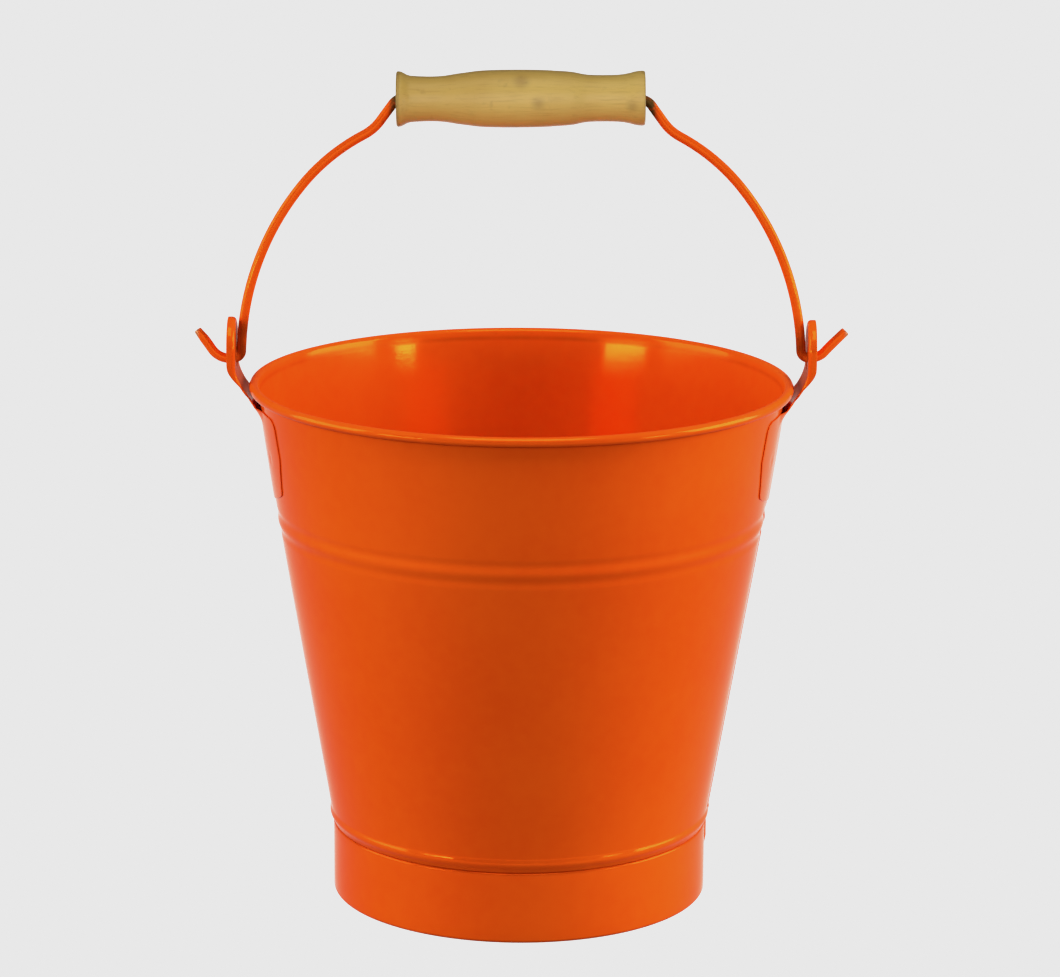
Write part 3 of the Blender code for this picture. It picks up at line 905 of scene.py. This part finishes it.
def bend_half(bm, hand):
    """Half of the bail, from the middle of the grip to the tip of the hook."""
    hook = HOOKS[hand]
    wire = Bending(bm, 0.0, GRIP_Z, hand)
    wire.straight(STRAIGHT_HALF)
    wire.bend(5.0, -54.0, 10)
    wire.straight(6.75)
    wire.bend(16.0, -28.0, 9)
    wire.bend(66.5, -51.0, 10)
    turned_in = math.sin(math.radians(-LEG_LEAN)) - math.sin(math.radians(-wire.heading))
    bow = (hook["leg_x"] - abs(wire.place.x)) / turned_in
    wire.bend(bow, LEG_LEAN, 18)
    wire.straight(wire.place.z - hook["leg"])
    wire.bend(ELBOW_R, hook["out"], 12)
    wire.straight(hook["run"])
    wire.bend(hook["r"], hook["up"], 8)
    wire.bend(TIP_EASE_R, hook["up"] - 4.0, 3)
    wire.straight(hook["tip"] - TIP_EASE_LENGTH, thinner=hook["end"])
    wire.straight(CUT_EDGE, thinner=0.86)
    bmesh.ops.contextual_create(bm, geom=wire.edges)
    print("hook tip at", [round(value, 1) for value in wire.place])


bm = bmesh.new()
for hand in (1, -1):
    bend_half(bm, hand)
bmesh.ops.remove_doubles(bm, verts=bm.verts, dist=WELD)
bmesh.ops.recalc_face_normals(bm, faces=bm.faces)
bmesh.ops.translate(bm, vec=(BAIL_SHIFT, 0, 0), verts=bm.verts)

# %% [markdown]
# The wire is darker beside the grip's ends, and painted shade darkens it in the holes of the ears and at
# the foot of the legs. The cut ends of the hooks were never painted well.

# %% Paint the bail
def cut_ends(x, y, z):
    """Bare metal at the last millimetre of the hooks."""
    return abs(x).rise(0.1066, 0.1076)


def wire_dark_and_shade(x, y, z):
    """Darker wire beside the grip's ends, and painted shade on it in the ears' holes."""
    beside_grip = (1 - abs(x).rise(0.0422, 0.0448)) * z.rise(0.2, 0.21)
    in_ears = abs(x).near(0.0955, 0.002) * (1 - z.rise(0.185, 0.187))
    return beside_grip + in_ears * 0.8


def leg_shade(x, y, z):
    """Painted shade on the inner side of the upright legs, just above the ears."""
    low_leg = 1 - z.rise(0.192, 0.199)
    return low_leg * (1 - abs(x).rise(0.0928, 0.0948))


bail_paint = enamel("bail_enamel", shaded_creases=(leg_shade,), bare=cut_ends, dark_marks=wire_dark_and_shade)
bail = finished("bail", bm, bail_paint, "bail", ["bail_wire"])

# %% [markdown]
# ## The varnished wood
# The grip is pale wood such as beech or birch. Its grain runs along the grip. The growth rings are
# nearly flat where the blank was cut, so on the round surface they show as long ovals. A Wave texture
# could draw the rings, but they are summed here as the sine of the distance from the tree's middle, so
# that each knot can push them aside. A turned piece also keeps faint tool rings across the grain, and
# its ends are darker because end grain drinks more varnish.

# %% Wood finish
WOOD_PALE = (0.72, 0.480, 0.112, 1.0)
WOOD_MID = (0.64, 0.400, 0.086, 1.0)
WOOD_LATE = (0.47, 0.262, 0.052, 1.0)
WOOD_KNOT = (0.24, 0.120, 0.025, 1.0)
WOOD_SHADER = {"Specular IOR Level": 0.35, "Coat Roughness": 0.25, "Coat Weight": 0.12}
PITH_Y = 0.016
PITH_Z = -0.021
RINGS = 2300.0
FIBRE_DEPTH = 0.00005
LATHE_DEPTH = 0.00003
KNOTS = ((-0.6, -6.6, 6.5, 4.2), (5.0, -9.3, -0.5, 3.6), (35.6, -8.0, -1.2, 3.2), (-13.0, 6.0, 6.5, 3.0))


def knot_mask(place, x, y, z, radius):
    """1 in the middle of a knot at a point in millimetres from the grip's middle."""
    shift = place.node("VectorMath", {"operation": "DISTANCE"},
                       {0: place, 1: (x * MM, y * MM, z * MM)}, output="Value")
    return shift.near(0.0, radius * MM)


def varnished_wood(name):
    material, shader, place = new_finish(name, WOOD_SHADER)
    middle = tuple(-value * MM for value in grip_axis)
    place = place.node("Mapping", inputs={"Vector": place, "Location": middle})
    knots = sum((knot_mask(place, *knot) for knot in KNOTS), 0.0)
    long_grain = place.node("Mapping", inputs={"Vector": place, "Scale": (0.07, 1.0, 1.0)})
    drift = noise(long_grain, 120.0, detail=3.0)
    x, y, z = split(place)
    side = y - PITH_Y
    depth = z - PITH_Z
    from_pith = (side * side + depth * depth).math("SQRT")
    rings = (from_pith * RINGS + drift * 5.0 + knots * 7.0).math("SINE") * 0.5 + 0.5
    fibres = noise(long_grain, 1500.0, detail=4.0, roughness=0.65)
    clouds = noise(place, 45.0, detail=3.0)
    late = rings.rise(0.55, 1.0) * 0.35 + fibres.rise(0.45, 0.8) * 0.45
    colour = clouds.rise(0.35, 0.68).blend(WOOD_MID, WOOD_PALE)
    colour = late.blend(colour, WOOD_LATE)
    specks = noise(place, 260.0, detail=2.0).rise(0.62, 0.78)
    colour = (knots * 0.40 + specks * 0.22).blend(colour, WOOD_KNOT)
    ends = abs(x).rise(0.0400, 0.0408)
    colour = (ends * 0.45).blend(colour, WOOD_KNOT)
    along = place.node("Mapping", inputs={"Vector": place, "Scale": (1.0, 0.03, 0.03)})
    lathe = noise(along, 1900.0)
    gloss = 0.38 + 0.14 * fibres + ends * 0.2
    grain_bump = bumps(fibres, FIBRE_DEPTH, bumps(lathe, LATHE_DEPTH))
    plug(shader, Base_Color=colour, Roughness=gloss, Normal=grain_bump)
    return material


print("growth rings every", round(2000.0 * math.pi / RINGS, 1), "mm, and", len(KNOTS), "small knots")

# %% [markdown]
# ## The grip
# The grip is turned by hand, so its two ends differ: the left neck is long and flat and the right one
# steps down quickly from the swollen middle. No formula fits such a line, so the profile is a list of
# places along the grip with their radii, as a turner marks them. It is closed through the bore, spun
# round Z, laid along X, and let sag on the wire by half a degree.

# %% Turn the grip
GRIP_PROFILE = [(-40.0, 9.05), (-39.2, 8.95), (-38.3, 8.50), (-37.3, 7.95), (-36.2, 7.62), (-34.6, 7.48),
                (-32.6, 7.38), (-30.6, 7.32), (-28.7, 7.32), (-26.7, 7.40), (-24.7, 7.58), (-22.7, 7.90),
                (-20.8, 8.22), (-18.8, 8.48), (-16.8, 8.74), (-14.8, 9.02), (-12.8, 9.20), (-10.0, 9.32),
                (-6.0, 9.42), (-2.0, 9.44), (2.0, 9.42), (6.0, 9.34), (9.0, 9.22), (12.0, 9.02),
                (15.0, 8.84), (17.2, 8.60), (18.8, 8.28), (20.4, 7.92), (22.2, 7.70), (24.7, 7.60),
                (27.0, 7.58), (29.5, 7.60), (31.5, 7.66), (33.5, 7.84), (35.5, 8.22), (37.2, 8.68),
                (38.6, 8.92), (39.6, 8.98), (40.0, 8.94)]
GRIP_HALF = 40.7
GRIP_EDGE = 0.7
LEFT_EDGE_R = 8.4
RIGHT_EDGE_R = 8.27
GRIP_SLID = -0.45
BORE_R = 2.9
BORE_MOUTH = 1.5
GRIP_STEPS = 72
GRIP_SAG = math.radians(0.55)

outline = arc((-GRIP_HALF + GRIP_EDGE, LEFT_EDGE_R), GRIP_EDGE, 180.0, 100.0, 4) + GRIP_PROFILE
outline += arc((GRIP_HALF - GRIP_EDGE, RIGHT_EDGE_R), GRIP_EDGE, 80.0, 0.0, 4)
outline += arc((GRIP_HALF - BORE_MOUTH, BORE_R + BORE_MOUTH), BORE_MOUTH, 0.0, -90.0, 6)
outline += arc((-GRIP_HALF + BORE_MOUTH, BORE_R + BORE_MOUTH), BORE_MOUTH, -90.0, -180.0, 6)
bm = bmesh.new()
verts = [bm.verts.new((radius, 0.0, along)) for along, radius in outline]
edges = [bm.edges.new(pair) for pair in zip(verts, verts[1:] + verts[:1])]
bmesh.ops.spin(bm, geom=verts + edges, cent=(0, 0, 0), axis=(0, 0, 1), angle=2.0 * math.pi,
               steps=GRIP_STEPS, use_merge=True)
bmesh.ops.remove_doubles(bm, verts=bm.verts, dist=WELD)
bmesh.ops.recalc_face_normals(bm, faces=bm.faces)
bmesh.ops.rotate(bm, verts=bm.verts, cent=(0, 0, 0), matrix=Matrix.Rotation(math.pi / 2, 3, "Y"))
bmesh.ops.rotate(bm, verts=bm.verts, cent=(0, 0, 0), matrix=Matrix.Rotation(-GRIP_SAG, 3, "Y"))
bmesh.ops.translate(bm, vec=(BAIL_SHIFT + GRIP_SLID, 0, GRIP_Z), verts=bm.verts)
wood = varnished_wood("grip_wood_varnished")
grip = finished("grip", bm, wood, "grip", ["wooden_grip"])

# %% [markdown]
# ## The rim wire
# The wire inside the curl is almost hidden. It could be spun again like the sheets, but its solid is the
# right shape already, so it stays and only gets a steel finish with fine, slightly uneven marks.

# %% Steel for the rim wire
STEEL_SHADER = {"Metallic": 1.0, "Specular IOR Level": 0.5}
STEEL_DARK = (0.40, 0.39, 0.38, 1.0)
STEEL_LIGHT = (0.58, 0.57, 0.56, 1.0)
STEEL_DEPTH = 0.00001


def drawn_steel(name):
    material, shader, place = new_finish(name, STEEL_SHADER)
    marks = noise(place, 900.0, detail=3.0)
    colour = marks.blend(STEEL_DARK, STEEL_LIGHT)
    plug(shader, Base_Color=colour, Roughness=0.32 + 0.15 * marks, Normal=bumps(marks, STEEL_DEPTH))
    return material


wire_node = frame["nodes"]["rim_wire"]
wire_node.material_slots[0].material = drawn_steel("rim_wire_drawn_steel")
print("the rim wire is", round(wire_node.dimensions.x * 1000, 1), "mm across")

# %% [markdown]
# ## The studio floor
# The pail stands on a wide disc of pale paper. The paper glows a little by itself, as an overexposed
# background does. Brighter lamps could burn it out instead, but they would burn out the paint as well.
# The floor is hidden from diffuse rays, so that its glow does not fill the pail's shaded sides.

# %% Floor
FLOOR_R = 7.0
FLOOR_DROP = 0.0002
PAPER_SHADER = {"Roughness": 0.9, "Emission Strength": 1.0}


def grey(value):
    """An even grey as a shader's colour."""
    return (value, value, value, 1.0)


def pale_paper(name):
    material, shader, place = new_finish(name, PAPER_SHADER)
    tone = noise(place, 3.0, detail=3.0)
    colour = tone.blend(grey(0.30), grey(0.32))
    glow = tone.blend(grey(1.04), grey(1.07))
    plug(shader, Base_Color=colour, Emission_Color=glow)
    return material


bm = bmesh.new()
bmesh.ops.create_circle(bm, cap_ends=True, segments=64, radius=FLOOR_R)
bmesh.ops.translate(bm, vec=(0, 0, -FLOOR_DROP), verts=bm.verts)
floor_mesh = bpy.data.meshes.new("paper_floor")
bm.to_mesh(floor_mesh)
bm.free()
floor_mesh.materials.append(pale_paper("pale_paper"))
floor = bpy.data.objects.new("paper_floor", floor_mesh)
bpy.context.scene.collection.objects.link(floor)
floor.visible_diffuse = False
floor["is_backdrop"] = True
print("paper floor", 2 * FLOOR_R, "m across")

# %% [markdown]
# ## Soft boxes
# Two large boxes at the sides light the wall from left and right. The middle of the pail faces the dark
# room behind the camera, so it is the darkest part of the wall. Two low, bright strips in front draw
# the two highlights inside the pail and the glints on the bead. An overhead box fills the inside, and
# two weak ones light the handle. Each lamp's brightness is given as its radiance, because that is what
# a reflection shows, and the power then follows from the lamp's area.

# %% Lamps
AIR_GLOW = 0.09
AIM = Vector((0.0, 0.0, 0.13))
LAMP_DISTANCE = 1.5

world = bpy.data.worlds.new("studio_air")
world.use_nodes = True
background = world.node_tree.nodes["Background"]
background.inputs["Color"].default_value = grey(1.0)
background.inputs["Strength"].default_value = AIR_GLOW
bpy.context.scene.world = world


def soft_box(name, azimuth, elevation, width, height, radiance, lights=None):
    """An area light; azimuth 0 is in front of the pail and 90 is on its right."""
    turn = math.radians(azimuth)
    lift = math.radians(elevation)
    out = Vector((math.sin(turn) * math.cos(lift), -math.cos(turn) * math.cos(lift), math.sin(lift)))
    data = bpy.data.lights.new(name, "AREA")
    data.shape = "RECTANGLE"
    data.size = width
    data.size_y = height
    data.energy = radiance * width * height * math.pi
    lamp = bpy.data.objects.new(name, data)
    lamp.location = AIM + out * LAMP_DISTANCE
    lamp.rotation_euler = out.to_track_quat("Z", "Y").to_euler()
    lamp.visible_camera = False
    bpy.context.scene.collection.objects.link(lamp)
    if lights is not None:
        lamp.light_linking.receiver_collection = lights
    print(name, "at", azimuth, "degrees,", round(data.energy, 2), "W")


def flagged(name, pieces):
    """A group of pieces that one lamp may reach."""
    group = bpy.data.collections.new(name)
    for piece in pieces:
        group.objects.link(piece)
    return group


# %% [markdown]
# Dark orange paint needs much more light than pale wood. In a studio, black flags keep a lamp off one
# part of the object. Light linking does the same here: the side boxes reach only what is painted, the
# overhead box only the pail, and the handle's boxes only the bail and the grip.

# %% Place the lamps
only_pail = flagged("lit_pail", [wall, foot, base] + ears)
all_paint = flagged("lit_paint", [wall, foot, base, bail] + ears)
only_handle = flagged("lit_handle", [bail, grip])
soft_box("strip_right", 56.0, 5.0, 0.25, 0.12, 30.0)
soft_box("strip_left", -49.0, 5.0, 0.52, 0.12, 24.0)
soft_box("side_right", 92.0, 12.0, 1.1, 1.1, 11.0, all_paint)
soft_box("side_left", -88.0, 12.0, 1.1, 1.1, 6.8, all_paint)
soft_box("overhead", 0.0, 71.0, 1.0, 1.0, 7.0, only_pail)
soft_box("handle_front", 0.0, 16.0, 1.2, 1.0, 2.7, only_handle)
soft_box("handle_top", 0.0, 75.0, 1.2, 1.0, 1.4, only_handle)

# %% [markdown]
# ## Camera
# The camera stands well above the rim and looks down on the pail, with a trace of roll. A long lens
# keeps the rim's ellipse flat and the sides nearly straight, as in a product picture. A short lens
# close by would take in the same pail, but its foot would look too small.

# %% Camera
CAMERA_PLACE = Vector((0.00301, -1.3463, 0.4576))
CAMERA_PITCH = 0.23294
CAMERA_ROLL = 0.00599
SENSOR = 36.0
FOCAL_LENGTH = 140.48

camera_data = bpy.data.cameras.new("studio_camera")
camera_data.sensor_width = SENSOR
camera_data.lens = FOCAL_LENGTH
camera_data.clip_end = 50.0
camera = bpy.data.objects.new("studio_camera", camera_data)
tilt = Matrix.Rotation(math.pi / 2 - CAMERA_PITCH, 4, "X")
camera.matrix_world = Matrix.Translation(CAMERA_PLACE) @ tilt @ Matrix.Rotation(CAMERA_ROLL, 4, "Z")
bpy.context.scene.collection.objects.link(camera)
bpy.context.scene.camera = camera
print("camera looks down", round(math.degrees(CAMERA_PITCH), 1), "degrees through", FOCAL_LENGTH, "mm")

# %% [markdown]
# ## Tone of the print
# The picture is developed like a bright product print: tones run straight up to the paint's brightness
# and then roll off to a pale grey, so the paper shows as one even tone. A filmic view would do this
# more softly, but it would also wash out the orange. The last stretch of the curve is kept straight.

# %% Bend the tones
COMBINED = 3
BRIGHTEST = 4.0
TONES = ((0.0, 0.0), (0.5, 0.5), (0.72, 0.69), (0.88, 0.77), (1.0, 0.80), (1.1, 0.807), (BRIGHTEST, 0.807))
view = bpy.context.scene.view_settings
view.view_transform = "Standard"
view.look = "None"
view.use_curve_mapping = True
curves = view.curve_mapping
curves.clip_max_x = BRIGHTEST
curves.clip_max_y = BRIGHTEST
curve = curves.curves[COMBINED]
while len(curve.points) < len(TONES):
    curve.points.new(0.5, 0.5)
for point, tone in zip(curve.points, TONES):
    point.location = tone
    if tone[0] > 1.0:
        point.handle_type = "VECTOR"
curves.update()
print("tones:", len(curve.points), "points")

# %% [markdown]
# ## Measure and finish
# The finer pieces have to stay inside the box of the solids that they stand for, so both boxes are
# printed.

# %% Record the sizes and finish
visual_low, visual_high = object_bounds()
sizes = {"cad": [list(cad_low), list(cad_high)], "visual": [list(visual_low), list(visual_high)]}
for name, (low, high) in sizes.items():
    print(name, [round(value * 1000, 2) for value in low + high])
